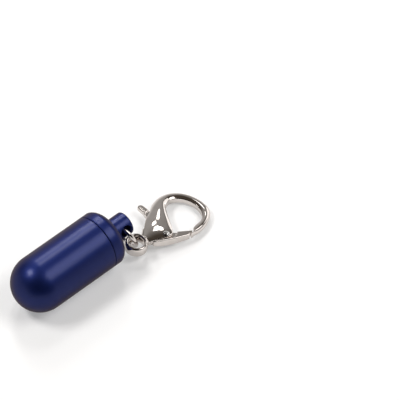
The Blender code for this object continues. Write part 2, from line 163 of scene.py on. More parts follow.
room = add_node(tree, "ShaderNodeBackground", {"Color": lit.outputs["Result"], "Strength": strength})
tree.links.new(room.outputs[0], add_node(tree, "ShaderNodeOutputWorld").inputs[0])


# The lamps: soft boxes, each hung where a piece mirrors it to the camera. Four bright ones light
# the satin pieces and the table. The ring and the clasp would mirror those as hard white patches,
# so light linking gives these bright metal pieces five dimmer ones.
LAMP_DISTANCE = 0.80
# A lamp's name, direction, width, height and brightness, where white is 1.
SATIN_LAMPS = (
    ("soft_box_behind_low", (0.45, 0.67, 0.59), 0.15, 0.17, 18.5),
    ("soft_box_behind_high", (0.42, 0.45, 0.79), 0.14, 0.16, 17.0),
    ("soft_box_right", (0.42, -0.44, 0.79), 0.46, 0.42, 5.6),
    ("soft_box_left", (-0.37, 0.44, 0.82), 0.27, 0.22, 18.5),
)
BRIGHT_METAL_LAMPS = (
    ("dim_box_behind_low", (0.43, 0.575, 0.695), 0.065, 0.065, 4.0),
    ("dim_box_behind_high", (0.42, 0.45, 0.79), 0.085, 0.085, 4.0),
    ("dim_box_right", (0.42, -0.44, 0.79), 0.50, 0.46, 2.6),
    ("dim_box_side", (0.91, 0.02, 0.42), 0.55, 0.42, 1.4),
    ("dim_box_left", (-0.37, 0.44, 0.82), 0.18, 0.15, 4.0),
)
satin_pieces = bpy.data.collections.new("satin_pieces")
bright_pieces = bpy.data.collections.new("bright_metal_pieces")
satin_pieces.objects.link(card)
for lamps, pieces in ((SATIN_LAMPS, satin_pieces), (BRIGHT_METAL_LAMPS, bright_pieces)):
    for name, toward, width, height, brightness in lamps:
        lamp = bpy.data.lights.new(name, "AREA")
        lamp.shape = "RECTANGLE"
        lamp.size = width
        lamp.size_y = height
        lamp.energy = brightness * math.pi * width * height
        holder = bpy.data.objects.new(name, lamp)
        holder.location = Vector(toward).normalized() * LAMP_DISTANCE
        holder.rotation_euler = Vector(toward).to_track_quat("Z", "Y").to_euler()
        bpy.context.collection.objects.link(holder)
        holder.light_linking.receiver_collection = pieces


# The camera: a long lens that looks down at 50 degrees, from in front of the capsule's nose and
# to its left. It aims past the seam of barrel and cap, by the step VIEW_AIM.
VIEW_TURN = math.radians(-42.75)
VIEW_RISE = math.radians(50)
VIEW_DISTANCE = 1.0
VIEW_LENS = 354.0
VIEW_AIM = Vector((0.02867, -0.00735, 0.0))


def hinge(name):
    """A joint's point and axis at rest."""
    joint = next(j for j in frame["joints"] if j["name"] == name)
    return Vector(joint["pos_m"]), Vector(joint["axis"]).normalized()


seam = hinge("cap_turn")[0]
view_offset = Vector((math.sin(VIEW_TURN) * math.cos(VIEW_RISE),
                      -math.cos(VIEW_TURN) * math.cos(VIEW_RISE), math.sin(VIEW_RISE)))
camera_data = bpy.data.cameras.new("camera")
camera_data.lens = VIEW_LENS
camera_data.sensor_width = 36.0
camera_data.clip_start = 0.01
camera = bpy.data.objects.new("camera", camera_data)
camera.location = seam + VIEW_AIM + VIEW_DISTANCE * view_offset
camera.rotation_euler = view_offset.to_track_quat("Z", "Y").to_euler()
bpy.context.collection.objects.link(camera)
bpy.context.scene.camera = camera
bpy.context.scene.view_settings.view_transform = "Standard"


# The barrel: a tube with a half-round nose, turned from aluminium bar. Its mouth has a plain
# bore for the seal and a female thread behind it. It is blasted satin, then anodised dark blue.
DYE_DARK = "#172153"
DYE_LIGHT = "#1B275D"
# The dye takes a little unevenly, in clouds of this size.
DYE_CLOUD = 0.006
# Glass beads of about 0.1 mm leave pits of this size.
BLAST_GRAIN = 0.00012
BLAST_DEPTH = 0.00001
HARD_EDGE = math.radians(35)
ON_AXIS = 1e-9
BARREL_FACETS = 192
BARREL_ROWS = 24
BARREL_BORE = 0.0060
BARREL_NOSE_WALL = 0.0015
SEAM_CLOSE = 0.00012
MOUTH_ROUND = 0.00012
SEAL_BORE = 0.00685
SEAL_BORE_END = -0.0046
THREAD_PITCH = 0.0010
THREAD_STEP = THREAD_PITCH / 12
THREAD_ROOT = 0.00560
THREAD_HEIGHT = 0.00050
THREAD_FLAT = 0.2
THREAD_FADE = 0.0004
THREAD_ZONE = (-0.0071, -0.00455)
THREAD_PLAY = 0.00015
FEMALE_START = -0.0048
FEMALE_TURNS = (-0.0049, -0.0070)
FEMALE_END = -0.0073
BORE_START = -0.0077


def arc(centre, radius, start, end, steps):
    """Points along an arc, its start and end in degrees."""
    angles = np.radians(np.linspace(start, end, steps + 1))
    return [(centre[0] + radius * math.cos(a), centre[1] + radius * math.sin(a)) for a in angles]


def thread_row(x, root, female=False):
    """One row of a right-hand thread over a root radius, fading out at both ends of its zone."""
    low, high = THREAD_ZONE
    fade = min(1.0, max(0.0, (x - low) / THREAD_FADE), max(0.0, (high - x) / THREAD_FADE))

    def radius(angle):
        phase = (x / THREAD_PITCH - angle / (2 * math.pi)) % 1.0
        ridge = np.clip((1 - 2 * np.abs(phase - 0.5) - THREAD_FLAT) / (1 - 2 * THREAD_FLAT), 0, 1)
        if female:
            return root + THREAD_HEIGHT * (1 - (1 - ridge) * fade)
        return root + THREAD_HEIGHT * ridge * fade
    return x, radius


def turned(rows, facets):
    """Turn rows of (x, r) about the capsule's axis into a closed mesh. A radius is a number, or
    a rule that gives the radius at each angle. A row on the axis is one vertex."""
    turn = np.arange(facets) * 2 * math.pi / facets
    points = []
    rings = []
    for x, r in rows:
        r = r(turn) if callable(r) else r
        if np.ndim(r) == 0 and r < ON_AXIS:
            rings.append([len(points)] * facets)
            points.append((x, 0.0, 0.0))
        else:
            rings.append(list(range(len(points), len(points) + facets)))
            points.extend(zip(np.full(facets, x), r * np.sin(turn), -r * np.cos(turn)))
    faces = []
    for one, two in zip(rings, rings[1:] + rings[:1]):
        for k in range(facets):
            j = (k + 1) % facets
            face = list(dict.fromkeys((one[k], one[j], two[j], two[k])))
            if len(face) > 2:
                faces.append(face)
    return points, faces


def make_piece(name, points, faces, material, place):
    """Make a piece whose object sits at the origin and whose mesh is put in its place, shaded
    smooth with its hard edges kept, its faces pointing outwards."""
    mesh = bpy.data.meshes.new(name)
    mesh.from_pydata([tuple(map(float, p)) for p in points], [], faces)
    mesh.transform(place)
    bm = bmesh.new()
    bm.from_mesh(mesh)
    bmesh.ops.recalc_face_normals(bm, faces=bm.faces[:])
    bm.to_mesh(mesh)
    bm.free()
    mesh.materials.append(material)
    mesh.shade_smooth()
    mesh.set_sharp_from_angle(angle=HARD_EDGE)
    piece = bpy.data.objects.new(name, mesh)
    bpy.context.collection.objects.link(piece)
    return piece


def anodised(name):
    """Blasted and dyed aluminium: a dark metallic blue with soft, wide highlights. Its warm edge
    tint greys it at grazing angles, and the clear oxide skin is a thin, glossier coat."""
    material, tree = new_material(name)
    coords = add_node(tree, "ShaderNodeTexCoord").outputs["Object"]
    cloud = add_node(tree, "ShaderNodeTexNoise", {"Vector": coords, "Scale": 1 / DYE_CLOUD, "Detail": 2.0})
    dye = add_node(tree, "ShaderNodeMix", {
        "Factor": cloud.outputs[0], "A": linear(DYE_DARK), "B": linear(DYE_LIGHT)}, data_type="RGBA")
    satin = add_node(tree, "ShaderNodeMapRange", {"Value": cloud.outputs[0], "To Min": 0.48, "To Max": 0.54})
    grain = add_node(tree, "ShaderNodeTexNoise", {"Vector": coords, "Scale": 1 / BLAST_GRAIN, "Detail": 3.0})
    bump = add_node(tree, "ShaderNodeBump", {
        "Height": grain.outputs[0], "Strength": 0.05, "Distance": BLAST_DEPTH})
    close_material(tree, add_node(tree, "ShaderNodeBsdfPrincipled", {
        "Base Color": dye.outputs["Result"], "Metallic": 1.0, "Roughness": satin.outputs[0],
        "Specular Tint": linear("#D8C492"), "Normal": bump.outputs[0], "Coat Weight": 0.18,
        "Coat Roughness": 0.25, "Coat IOR": 1.6}))
    return material


barrel_low, barrel_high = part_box("barrel")
barrel_radius = (barrel_high.z - barrel_low.z) / 2
axis_place = Matrix.Translation(seam)
mouth = barrel_high.x - seam.x + SEAM_CLOSE
nose_centre = barrel_low.x - seam.x + barrel_radius
female_root = THREAD_ROOT + THREAD_PLAY
female_outer = female_root + THREAD_HEIGHT
rows = arc((nose_centre, 0), barrel_radius, 180, 90, steps=40)
rows += [(x, barrel_radius) for x in np.linspace(nose_centre, mouth - MOUTH_ROUND, BARREL_ROWS)[1:-1]]
rows += arc((mouth - MOUTH_ROUND, barrel_radius - MOUTH_ROUND), MOUTH_ROUND, 90, 0, steps=4)
rows += arc((mouth - MOUTH_ROUND, SEAL_BORE + MOUTH_ROUND), MOUTH_ROUND, 0, -90, steps=3)
rows += [(SEAL_BORE_END, SEAL_BORE), (FEMALE_START, female_outer)]
rows += [thread_row(x, female_root, female=True) for x in np.arange(*FEMALE_TURNS, -THREAD_STEP)]
rows += [(FEMALE_END, female_outer), (BORE_START, BARREL_BORE)]
rows += arc((nose_centre, 0), barrel_radius - BARREL_NOSE_WALL, 90, 180, steps=20)
points, faces = turned(rows, BARREL_FACETS)
barrel = make_piece("turned_barrel", points, faces, anodised("anodised_aluminium_barrel"), axis_place)
satin_pieces.objects.link(barrel)
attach(barrel, "barrel")
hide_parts("barrel")


# The cap: one more turned aluminium piece. Its flange meets the barrel's mouth, its stem has a
# cross hole for the ring, and its neck carries the seal groove, the thread and the slip's bore.
CAP_FACETS = 192
FLANGE_LENGTH = 0.00235
FLANGE_ROWS = 6
SHOULDER_RADIUS = 0.0030
SHOULDER_BREAK = 20
STEM_RADIUS = 0.0031
STEM_ROWS = 10
STEM_EDGE = 0.0004
STEM_FILLET = 0.0003
SEAT_RISE = 0.00008
SEAT_RADIUS = 0.0072
RELIEF_RADIUS = 0.00585
COLLAR_RADIUS = 0.00625
COLLAR_START = -0.0005
GROOVE = (-0.00455, -0.00225)
GROOVE_RADIUS = 0.00455
THREAD_LEAD = 0.0003
NECK_BORE = 0.0041
NECK_BORE_END = 0.0028
FINE_EDGE = 0.0001
HOLE_RADIUS = 0.0015
HOLE_CHAMFER = 0.0004
HOLE_EASE = 0.0002
HOLE_EASE_RISE = 0.00006
HOLE_FACETS = 96


def settle(piece):
    """Turn a piece and its modifiers into a plain mesh."""
    graph = bpy.context.evaluated_depsgraph_get()
    mesh = bpy.data.meshes.new_from_object(piece.evaluated_get(graph))
    piece.modifiers.clear()
    piece.data = mesh


def combine(piece, operation, points, faces, place):
    """Cut a solid out of a piece or fuse it on, and keep the piece's own material throughout."""
    tool = make_piece(f"{piece.name}_tool", points, faces, piece.data.materials[0], place)
    change = piece.modifiers.new("change", "BOOLEAN")
    change.operation = operation
    change.solver = "EXACT"
    change.object = tool
    settle(piece)
    bpy.data.objects.remove(tool)


def frame_at(origin, x_axis, z_axis):
    """A frame with its Z along one direction and its X as near as can be to another."""
    z = z_axis.normalized()
    x = (x_axis - x_axis.dot(z) * z).normalized()
    return Matrix.Translation(origin) @ Matrix((x, z.cross(x), z)).transposed().to_4x4()


cap_low, cap_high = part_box("cap")
neck_end = cap_low.x - seam.x
stem_end = cap_high.x - seam.x
shoulder_centre = (FLANGE_LENGTH - SHOULDER_RADIUS * math.sin(math.radians(SHOULDER_BREAK)),
                   barrel_radius - SHOULDER_RADIUS * math.cos(math.radians(SHOULDER_BREAK)))
stem_base = shoulder_centre[0] + SHOULDER_RADIUS
stem_run = (stem_base + STEM_FILLET, stem_end - STEM_EDGE)
thread_run = (neck_end + THREAD_LEAD + FINE_EDGE / 2, GROOVE[0] - 2 * FINE_EDGE)
rows = arc((FINE_EDGE, barrel_radius - FINE_EDGE), FINE_EDGE, 180, 90, steps=3)
rows += [(x, barrel_radius) for x in np.linspace(FINE_EDGE, FLANGE_LENGTH, FLANGE_ROWS)[1:]]
rows += arc(shoulder_centre, SHOULDER_RADIUS, 90 - SHOULDER_BREAK, 0, steps=16)[1:]
rows += arc((stem_base + STEM_FILLET, STEM_RADIUS + STEM_FILLET), STEM_FILLET, 180, 270, steps=4)
rows += [(x, STEM_RADIUS) for x in np.linspace(*stem_run, STEM_ROWS)[1:-1]]
rows += arc((stem_end - STEM_EDGE, STEM_RADIUS - STEM_EDGE), STEM_EDGE, 90, 0, steps=5)
rows += [(stem_end, 0), (NECK_BORE_END, 0), (NECK_BORE_END, NECK_BORE)]
rows += [(neck_end + FINE_EDGE, NECK_BORE), (neck_end, NECK_BORE + FINE_EDGE)]
rows += [(neck_end, THREAD_ROOT - THREAD_LEAD), (neck_end + THREAD_LEAD, THREAD_ROOT)]
rows += [thread_row(x, THREAD_ROOT) for x in np.arange(*thread_run, THREAD_STEP)]
rows += [(GROOVE[0] - FINE_EDGE, THREAD_ROOT), (GROOVE[0], THREAD_ROOT - FINE_EDGE)]
rows += [(GROOVE[0], GROOVE_RADIUS + FINE_EDGE), (GROOVE[0] + FINE_EDGE, GROOVE_RADIUS)]
rows += [(GROOVE[1] - FINE_EDGE, GROOVE_RADIUS), (GROOVE[1], GROOVE_RADIUS + FINE_EDGE)]
rows += [(GROOVE[1], COLLAR_RADIUS - FINE_EDGE), (GROOVE[1] + FINE_EDGE, COLLAR_RADIUS)]
rows += [(COLLAR_START - FINE_EDGE, COLLAR_RADIUS), (COLLAR_START, COLLAR_RADIUS - FINE_EDGE)]
rows += [(COLLAR_START, RELIEF_RADIUS), (-SEAT_RISE, RELIEF_RADIUS)]
rows += [(-SEAT_RISE, SEAT_RADIUS), (0, SEAT_RADIUS)]
points, faces = turned(rows, CAP_FACETS)
cap = make_piece("turned_cap", points, faces, anodised("anodised_aluminium_cap"), axis_place)
hole_centre, hole_axis = hinge("link_swing")
hole_place = frame_at(hole_centre, hole_axis, Vector((1, 0, 0)))
inner = STEM_RADIUS - HOLE_CHAMFER
outer = STEM_RADIUS + HOLE_CHAMFER
half_hole = [(0, HOLE_RADIUS), (inner - HOLE_EASE, HOLE_RADIUS),
             (inner + HOLE_EASE / 4, HOLE_RADIUS + HOLE_EASE_RISE),
             (outer, HOLE_RADIUS + 2 * HOLE_CHAMFER), (outer, 0)]
rows = [(-x, r) for x, r in half_hole[:0:-1]] + half_hole
points, faces = turned(rows, HOLE_FACETS)
combine(cap, "DIFFERENCE", points, faces, hole_place)
# The cut brings new hard edges.
cap.data.shade_smooth()
cap.data.set_sharp_from_angle(angle=HARD_EDGE)
satin_pieces.objects.link(cap)
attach(cap, "cap")
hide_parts("cap")


# The seal: a moulded nitrile rubber ring of 1.7 mm section, stretched over the neck into its
# groove. It is black and half glossy, with a faint dry bloom.
SEAL_SECTION = 0.0017
SEAL_FACETS = 128
BLOOM_SPOT = 0.0008
seal_low, seal_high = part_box("o_ring")
seal_middle = (seal_low.x + seal_high.x) / 2 - seam.x
seal_centre = (seal_high.z - seal_low.z) / 2 - SEAL_SECTION / 2
rows = arc((seal_middle, seal_centre), SEAL_SECTION / 2, 0, 360, steps=32)[:-1]
points, faces = turned(rows, SEAL_FACETS)
rubber, tree = new_material("moulded_nitrile_rubber")
coords = add_node(tree, "ShaderNodeTexCoord").outputs["Object"]
dust = add_node(tree, "ShaderNodeTexNoise", {"Vector": coords, "Scale": 1 / BLOOM_SPOT, "Detail": 4.0})
tone = add_node(tree, "ShaderNodeMix", {
    "Factor": dust.outputs[0], "A": linear("#0C0B0A"), "B": linear("#191715")}, data_type="RGBA")
bump = add_node(tree, "ShaderNodeBump", {"Height": dust.outputs[0], "Strength": 0.2, "Distance": 0.00001})
bloom = add_node(tree, "ShaderNodeMapRange", {"Value": dust.outputs[0], "To Min": 0.22, "To Max": 0.40})
close_material(tree, add_node(tree, "ShaderNodeBsdfPrincipled", {
    "Base Color": tone.outputs["Result"], "Roughness": bloom.outputs[0], "IOR": 1.52,
    "Normal": bump.outputs[0]}))
seal = make_piece("moulded_seal_ring", points, faces, rubber, axis_place)
satin_pieces.objects.link(seal)
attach(seal, "seal")
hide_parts("o_ring")


# The address slip: a strip of uncoated white paper, matt from its open fibres, rolled up by hand
# and pushed into the neck. Its inner turns stand further out than its outer ones, and its free
# end flares a little.
SLIP_TURNS = 2.4
SLIP_PITCH = 0.00052
SLIP_THICKNESS = 0.00012
SLIP_PLAY = 0.00035
SLIP_TELESCOPE = 0.0010
SLIP_FLARE = 0.00012
SLIP_WAVES = 1.5
SLIP_TWIST = 4
SLIP_END_AT = math.radians(60)
SLIP_STEPS = 150
SLIP_ROWS = 24
PAPER_FIBRE = 0.00025
slip_low, slip_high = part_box("address_slip")
slip_inner = slip_high.x - seam.x
slip_outer = slip_low.x - seam.x + SLIP_TELESCOPE
points = []
for k in range(SLIP_STEPS + 1):
    inward = 1 - k / SLIP_STEPS
    angle = SLIP_END_AT - 2 * math.pi * SLIP_TURNS * inward
    for side in (0, 1):
        for j in range(SLIP_ROWS + 1):
            share = j / SLIP_ROWS
            x = slip_inner + (slip_outer - slip_inner) * share - SLIP_TELESCOPE * inward
            flare = SLIP_FLARE * math.sin(SLIP_WAVES * angle + SLIP_TWIST * share) * share
            radius = NECK_BORE - SLIP_PLAY - SLIP_PITCH * SLIP_TURNS * inward + flare - side * SLIP_THICKNESS
            points.append((x, radius * math.sin(angle), radius * math.cos(angle)))
row = 2 * (SLIP_ROWS + 1)
loop = [*range(SLIP_ROWS + 1), *range(row - 1, SLIP_ROWS, -1)]
faces = []
for k in range(SLIP_STEPS):
    for a, b in zip(loop, loop[1:] + loop[:1]):
        faces.append((k * row + a, k * row + b, (k + 1) * row + b, (k + 1) * row + a))
for k in (0, SLIP_STEPS):
    for j in range(SLIP_ROWS):
        faces.append([k * row + i for i in (j, j + 1, SLIP_ROWS + 2 + j, SLIP_ROWS + 1 + j)])
paper, tree = new_material("uncoated_white_paper")
coords = add_node(tree, "ShaderNodeTexCoord").outputs["Object"]
fibres = add_node(tree, "ShaderNodeTexNoise", {"Vector": coords, "Scale": 1 / PAPER_FIBRE, "Detail": 5.0})
tone = add_node(tree, "ShaderNodeMix", {
    "Factor": fibres.outputs[0], "A": linear("#EDEBE5"), "B": linear("#F6F5F1")}, data_type="RGBA")
bump = add_node(tree, "ShaderNodeBump", {"Height": fibres.outputs[0], "Strength": 0.3, "Distance": 0.00002})
close_material(tree, add_node(tree, "ShaderNodeBsdfPrincipled", {
    "Base Color": tone.outputs["Result"], "Roughness": 0.85, "IOR": 1.5, "Normal": bump.outputs[0]}))
slip = make_piece("rolled_paper_slip", points, faces, paper, axis_place)
satin_pieces.objects.link(slip)
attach(slip, "slip")
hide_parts("address_slip")


# The jump ring: 1.1 mm steel wire wound on a mandrel, cut, closed through the stem's cross hole
# and the clasp's eye, and nickel plated. Its cut ends butt together at the side that hangs down.
RING_WIRE = 0.00055
RING_RADIUS = 0.0040
RING_LIFT = 0.00065
RING_JOINT = math.radians(0.8)
RING_JOINT_AT = math.radians(80)
RING_POINTS = 145
RING_SIDES = 24
TUMBLE_WAVE = 0.0022
# Real tumbling scratches are finer than this and too fine to show.
TUMBLE_SCRATCH = 0.00012
TUMBLE_DEPTH = 1 / 20
GLOSS_SPREAD = 0.02


def nickel(name, roughness, ripple):
    """Bright nickel plate over a tumbled surface: warm white metal whose reflections waver."""
    material, tree = new_material(name)
    coords = add_node(tree, "ShaderNodeTexCoord").outputs["Object"]
    wave = add_node(tree, "ShaderNodeTexNoise", {
        "Vector": coords, "Scale": 1 / TUMBLE_WAVE, "Detail": 1.0})
    fine = add_node(tree, "ShaderNodeTexNoise", {
        "Vector": coords, "Scale": 1 / TUMBLE_SCRATCH, "Detail": 4.0})
    tone = add_node(tree, "ShaderNodeMix", {
        "Factor": wave.outputs[0], "A": linear("#C9C1BB"), "B": linear("#D8D2CE")}, data_type="RGBA")
    gloss = add_node(tree, "ShaderNodeMapRange", {
        "Value": fine.outputs[0], "To Min": roughness - GLOSS_SPREAD, "To Max": roughness + GLOSS_SPREAD})
    broad = add_node(tree, "ShaderNodeBump", {
        "Height": wave.outputs[0], "Strength": ripple, "Distance": TUMBLE_WAVE * TUMBLE_DEPTH})
    close = add_node(tree, "ShaderNodeBump", {
        "Height": fine.outputs[0], "Strength": 0.03, "Distance": TUMBLE_SCRATCH * TUMBLE_DEPTH,
        "Normal": broad.outputs[0]})
    close_material(tree, add_node(tree, "ShaderNodeBsdfPrincipled", {
        "Base Color": tone.outputs["Result"], "Metallic": 1.0, "Roughness": gloss.outputs[0],
        "Normal": close.outputs[0]}))
    return material


def wire_tree():
    """Geometry Nodes that draw round wire along a curve, with its cut ends closed."""
    tree = bpy.data.node_groups.new("drawn_wire", "GeometryNodeTree")
    tree.interface.new_socket("Path", in_out="INPUT", socket_type="NodeSocketGeometry")
    tree.interface.new_socket("Wire radius", in_out="INPUT", socket_type="NodeSocketFloat")
    tree.interface.new_socket("Sides", in_out="INPUT", socket_type="NodeSocketInt")
    tree.interface.new_socket("Finish", in_out="INPUT", socket_type="NodeSocketMaterial")
    tree.interface.new_socket("Wire", in_out="OUTPUT", socket_type="NodeSocketGeometry")
    given = add_node(tree, "NodeGroupInput")
    section = add_node(tree, "GeometryNodeCurvePrimitiveCircle", {
        "Resolution": given.outputs["Sides"], "Radius": given.outputs["Wire radius"]})
    drawn = add_node(tree, "GeometryNodeCurveToMesh", {
        "Curve": given.outputs["Path"], "Profile Curve": section.outputs["Curve"], "Fill Caps": True})
    smooth = add_node(tree, "GeometryNodeSetShadeSmooth", {0: drawn.outputs[0]})
    real = add_node(tree, "GeometryNodeRealizeInstances", {0: smooth.outputs[0]})
    coated = add_node(tree, "GeometryNodeSetMaterial", {
        "Geometry": real.outputs[0], "Material": given.outputs["Finish"]})
    add_node(tree, "NodeGroupOutput", {0: coated.outputs[0]})
    return tree


drawn_wire = wire_tree()


def draw_wire(name, path, radius, sides, finish, place):
    """Draw wire along a path of points and return it as a plain mesh in its place."""
    curve = bpy.data.curves.new(name, "CURVE")
    curve.dimensions = "3D"
    spline = curve.splines.new("POLY")
    spline.points.add(len(path) - 1)
    for point, (x, y, z) in zip(spline.points, path):
        point.co = (x, y, z, 1)
    holder = bpy.data.objects.new(name, curve)
    bpy.context.collection.objects.link(holder)
    draw = holder.modifiers.new("drawn_wire", "NODES")
    draw.node_group = drawn_wire
    sockets = {s.name: s.identifier for s in drawn_wire.interface.items_tree if s.in_out == "INPUT"}
    draw[sockets["Wire radius"]] = radius
    draw[sockets["Sides"]] = sides
    draw[sockets["Finish"]] = finish
    graph = bpy.context.evaluated_depsgraph_get()
    mesh = bpy.data.meshes.new_from_object(holder.evaluated_get(graph))
    bpy.data.objects.remove(holder)
    mesh.transform(place)
    mesh.materials.clear()
    mesh.materials.append(finish)
    piece = bpy.data.objects.new(name, mesh)
    bpy.context.collection.objects.link(piece)
    return piece


ring_low, ring_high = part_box("jump_ring")
to_ring = (ring_low + ring_high) / 2 - hole_centre
hang = (to_ring - to_ring.dot(hole_axis) * hole_axis).normalized()
ring_place = frame_at(hole_centre + (RING_RADIUS - RING_LIFT) * hang, hole_axis, hole_axis.cross(hang))
angles = RING_JOINT_AT + np.linspace(RING_JOINT, 2 * math.pi - RING_JOINT, RING_POINTS)
path = [(RING_RADIUS * math.cos(a), RING_RADIUS * math.sin(a), 0) for a in angles]
ring_finish = nickel("nickel_plated_wire", roughness=0.08, ripple=0.05)
link = draw_wire("split_jump_ring", path, RING_WIRE, RING_SIDES, ring_finish, ring_place)
bright_pieces.objects.link(link)
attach(link, "link")
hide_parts("jump_ring")


# The clasp's body: a zinc casting with its eye and hook in one, tumbled and nickel plated. Its
# two cheeks hold the lever between them. It is drawn in plan, from the eye's centre.
BODY_HALF = 0.0016
# A row is a point of the outer edge, the point of the inner edge across from it, the crown's
# share of the half thickness and the inner edge's share of the crown.
CLASP_ROWS = (
    (0.00235, 0.00145, 0.00255, -0.00095, 0.44, 0.80),
    (0.00350, 0.00310, 0.00430, -0.00140, 0.62, 0.82),
    (0.00500, 0.00500, 0.00660, -0.00185, 0.82, 0.84),
    (0.00650, 0.00660, 0.00850, -0.00220, 0.95, 0.86),
    (0.00800, 0.00770, 0.00980, -0.00175, 0.995, 0.88),
    (0.00920, 0.00860, 0.01080, 0.00050, 1.00, 0.78),
    (0.01060, 0.00970, 0.01160, 0.00330, 0.98, 0.72),
    (0.01200, 0.01050, 0.01230, 0.00540, 0.94, 0.68),
    (0.01330, 0.01095, 0.01310, 0.00710, 0.88, 0.65),
    (0.01500, 0.01110, 0.01460, 0.00830, 0.80, 0.64),
    (0.01660, 0.01085, 0.01570, 0.00850, 0.72, 0.64),
    (0.01820, 0.01020, 0.01710, 0.00815, 0.68, 0.64),
    (0.01960, 0.00925, 0.01840, 0.00730, 0.66, 0.64),
    (0.02090, 0.00780, 0.01950, 0.00590, 0.66, 0.64),
    (0.02200, 0.00600, 0.02015, 0.00440, 0.66, 0.64),
    (0.02270, 0.00410, 0.02040, 0.00290, 0.66, 0.64),
    (0.02290, 0.00220, 0.02035, 0.00160, 0.66, 0.64),
    (0.02250, 0.00050, 0.02000, 0.00060, 0.66, 0.64),
    (0.02140, -0.00100, 0.01940, -0.00035, 0.66, 0.64),
    (0.02000, -0.00220, 0.01850, -0.00105, 0.66, 0.64),
    (0.01850, -0.00310, 0.01740, -0.00150, 0.66, 0.66),
    (0.01700, -0.00365, 0.01640, -0.00185, 0.64, 0.70),
    (0.01580, -0.00385, 0.01560, -0.00235, 0.63, 0.76),
    (0.01500, -0.00398, 0.01525, -0.00290, 0.62, 0.84),
    (0.01445, -0.00405, 0.01495, -0.00345, 0.62, 0.90),
    (0.01385, -0.00412, 0.01400, -0.00378, 0.60, 0.90),
)
CLASP_STEP = 0.0003
CURVE_STEPS = 24
HOOK_CROWN = 0.66
HOOK_FULLNESS = 2.1
BROAD_FULLNESS = 0.3
HOOK_RIDGE = 0.5
BROAD_RIDGE = 0.22
CROWN_RISE = np.array([0, 0.005, 0.02, 0.045, 0.08, 0.13, 0.2, 0.28, 0.38, 0.5, 0.62, 0.74, 0.87])
INNER_FALL = np.array([0, 0.2, 0.4, 0.6, 0.8, 0.92, 1.0])
EDGE_ROLL = 0.00030
EDGE_ROLL_SHARE = 0.2
ROLL_TURNS = np.radians((20, 40, 60, 75, 90))
NECK_UNDER = 0.70
NECK_TAPER = 0.020
EYE_INNER = 0.00192
EYE_OUTER = 0.0031
EYE_HALF = 0.00150
EYE_DROP = 0.00002
EYE_CORNERS = 0.3
EYE_FULLNESS = 0.95
EYE_TURNS = np.radians(np.arange(0, 360, 12))
EYE_FACETS = 120
PIVOT = (0.0081, -0.0013)
RIVET_BORE = 0.0006
BORE_FACETS = 48
SLOT_HALF = 0.00065
SLOT_OUTLINE = (
    (0.0036, -0.0055), (0.0036, -0.0011), (0.0062, -0.0011), (0.0040, 0.0040), (0.0026, 0.0067),
    (0.0093, 0.0105), (0.0093, 0.0004), (0.0124, 0.0004), (0.0124, -0.0055),
)
BODY_GRAIN = 0.00009
CAST_PASSES = 4


def smooth_rows(table, step):
    """Read a Catmull-Rom curve through rows of numbers, at even steps along its edge points."""
    knots = np.array([2 * np.array(table[0]) - table[1], *table, 2 * np.array(table[-1]) - table[-2]])
    fine = []
    for a, b, c, d in zip(knots, knots[1:], knots[2:], knots[3:]):
        for s in np.linspace(0, 1, CURVE_STEPS, endpoint=False):
            fine.append(b + 0.5 * s * (c - a + s * (2 * a - 5 * b + 4 * c - d
                                                    + s * (3 * b - a - 3 * c + d))))
    fine = np.array([*fine, knots[-2]])
    lengths = np.linalg.norm(np.diff(fine[:, :4], axis=0), axis=1)
    run = np.concatenate([[0], np.cumsum(lengths)])
    even = np.linspace(0, run[-1], round(run[-1] / step) + 1)
    return np.column_stack([np.interp(even, run, column) for column in fine.T])


def skin(sections):
    """Points and faces over a row of sections, closed by flat ends."""
    count = len(sections[0])
    points = [point for section in sections for point in section]
    faces = []
    for one in range(0, len(points) - count, count):
        two = one + count
        for k in range(count):
            j = (k + 1) % count
            faces.append((one + k, one + j, two + j, two + k))
    faces.append(tuple(range(count)))
    faces.append(tuple(range(len(points) - 1, len(points) - 1 - count, -1)))
    return points, faces


def plate(outline, half, rim=((0.0, 1.0),)):
    """An upright plate over a plan outline, centred on the clasp's middle plane. Its rim is rows
    of (inset, share of the half thickness), from the outline inwards."""
    plan = np.array(outline)
    following = np.roll(plan, -1, axis=0)
    sides = following - plan
    sides /= np.linalg.norm(sides, axis=1)[:, None]
    turn = np.sign((plan[:, 0] * following[:, 1] - plan[:, 1] * following[:, 0]).sum())
    normals = np.column_stack([-sides[:, 1], sides[:, 0]]) * turn
    before = np.roll(normals, 1, axis=0)
    inward = (before + normals) / (1 + (before * normals).sum(axis=1))[:, None]
    levels = [(inset, -half * share) for inset, share in rim[::-1]]
    levels += [(inset, half * share) for inset, share in rim]
    return skin([[(x, y, z) for x, y in plan + move * inward] for move, z in levels])


def upright(points):
    """Turn points made about X so that they stand about Z."""
    return [(-z, y, x) for x, y, z in points]


def cast(piece, grain):
    """Give a built-up solid the soft edges and fillets of a casting."""
    skin_over = piece.modifiers.new("skin", "REMESH")
    skin_over.mode = "VOXEL"
    skin_over.voxel_size = grain
    soften = piece.modifiers.new("soften", "SMOOTH")
    soften.iterations = CAST_PASSES
    soften.factor = 0.5
    settle(piece)
    piece.data.shade_smooth()


